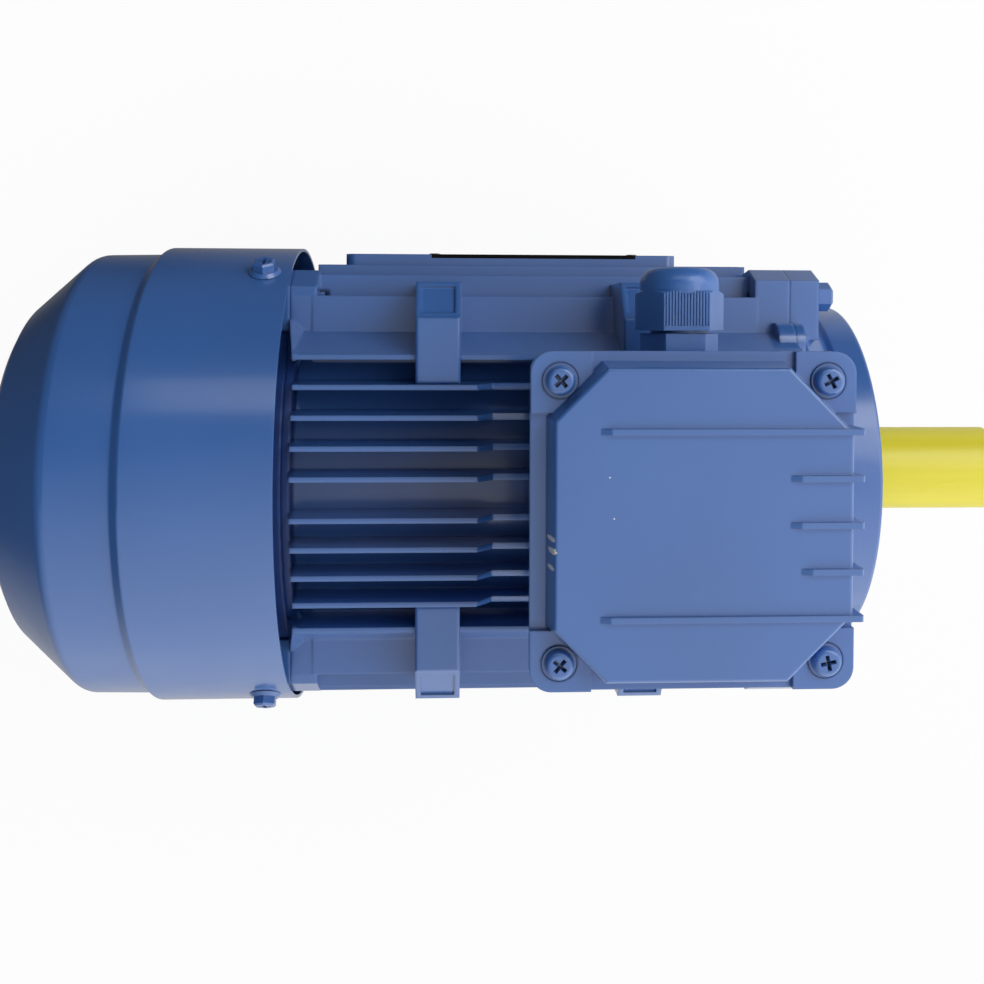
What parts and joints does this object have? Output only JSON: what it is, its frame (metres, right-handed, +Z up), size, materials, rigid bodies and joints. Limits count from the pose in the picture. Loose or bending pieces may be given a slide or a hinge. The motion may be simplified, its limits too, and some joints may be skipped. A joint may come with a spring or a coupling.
{
  "type": "three-phase induction motor",
  "caption": "Totally enclosed fan-cooled motor with a ribbed housing, round face flange, fan cowl, terminal box with cable gland and a capped keyed shaft end.",
  "frame": {"origin": "on the shaft axis, in the plane of the flange's mounting face", "axes": "+X along the shaft to the drive end, +Z up through the terminal box, +Y towards the cable gland"},
  "size_m": [0.4031, 0.187, 0.2363],
  "materials": {
    "frame_paint": "glossy blue enamel over cast light metal",
    "sheet_paint": "glossy blue enamel over pressed steel",
    "box_paint": "glossy blue enamel over die-cast light metal",
    "painted_fasteners": "steel fasteners painted over in blue",
    "black_plate": "thin black plate, bare",
    "bright_steel": "ground and turned steel",
    "bearing_steel": "polished bearing steel",
    "cage_brass": "pressed ball cage",
    "lamination_steel": "stacked electrical steel",
    "winding_copper": "varnished copper winding",
    "cast_aluminium": "raw die-cast aluminium",
    "black_rubber": "soft black rubber",
    "gland_plastic": "moulded plastic painted over in blue",
    "fan_plastic": "moulded plastic",
    "yellow_plastic": "soft moulded yellow plastic",
    "board_plastic": "moulded phenolic board",
    "terminal_brass": "plain brass"
  },
  "bodies": {
    "motor": {"frame_housing": "frame_paint", "front_shield": "frame_paint", "rear_shield": "frame_paint", "nameplate": "black_plate", "nameplate_rivets": "bright_steel", "front_tie_bolts": "painted_fasteners", "front_tie_washers": "painted_fasteners", "rear_tie_bolts": "painted_fasteners", "rear_tie_washers": "painted_fasteners", "front_bearing_outer_ring": "bearing_steel", "rear_bearing_outer_ring": "bearing_steel", "preload_washer": "bearing_steel", "shaft_seal": "black_rubber", "stator_core": "lamination_steel", "stator_windings": "winding_copper", "fan_cowl": "sheet_paint", "cowl_screws": "painted_fasteners", "base_gasket": "black_rubber", "terminal_box": "box_paint", "base_screws": "bright_steel", "terminal_board": "board_plastic", "terminal_studs": "terminal_brass", "terminal_nuts": "terminal_brass", "terminal_links": "terminal_brass", "earth_screw": "bright_steel", "lid_gasket": "black_rubber", "terminal_lid": "box_paint", "lid_washers": "painted_fasteners", "lid_screws": "painted_fasteners", "gland_body": "gland_plastic", "gland_oring": "black_rubber", "gland_locknut": "gland_plastic", "gland_seal": "black_rubber", "gland_nut": "gland_plastic"},
    "rotor": {"shaft": "bright_steel", "shaft_key": "bright_steel", "rotor_core": "lamination_steel", "rotor_cage": "cast_aluminium", "fan": "fan_plastic", "fan_clip": "bearing_steel", "front_bearing_inner_ring": "bearing_steel", "rear_bearing_inner_ring": "bearing_steel"},
    "front_ball_set": {"front_bearing_balls": "bearing_steel", "front_bearing_cage": "cage_brass"},
    "rear_ball_set": {"rear_bearing_balls": "bearing_steel", "rear_bearing_cage": "cage_brass"},
    "shaft_guard": {"shaft_guard": "yellow_plastic"}
  },
  "joints": [
    {"name": "rotor_spin", "type": "hinge", "parent": "motor", "child": "rotor", "pos_m": [0, 0, 0], "axis": [1, 0, 0], "continuous": true},
    {"name": "front_balls_roll", "type": "hinge", "parent": "motor", "child": "front_ball_set", "pos_m": [0, 0, 0], "axis": [1, 0, 0], "continuous": true},
    {"name": "rear_balls_roll", "type": "hinge", "parent": "motor", "child": "rear_ball_set", "pos_m": [0, 0, 0], "axis": [1, 0, 0], "continuous": true},
    {"name": "guard_pull", "type": "slide", "parent": "rotor", "child": "shaft_guard", "axis": [1, 0, 0], "range_m": [0, 0.055]}
  ],
  "couplings": [
    {"joint": "front_balls_roll", "follows": "rotor_spin", "ratio": 0.3987},
    {"joint": "rear_balls_roll", "follows": "rotor_spin", "ratio": 0.3987}
  ]
}
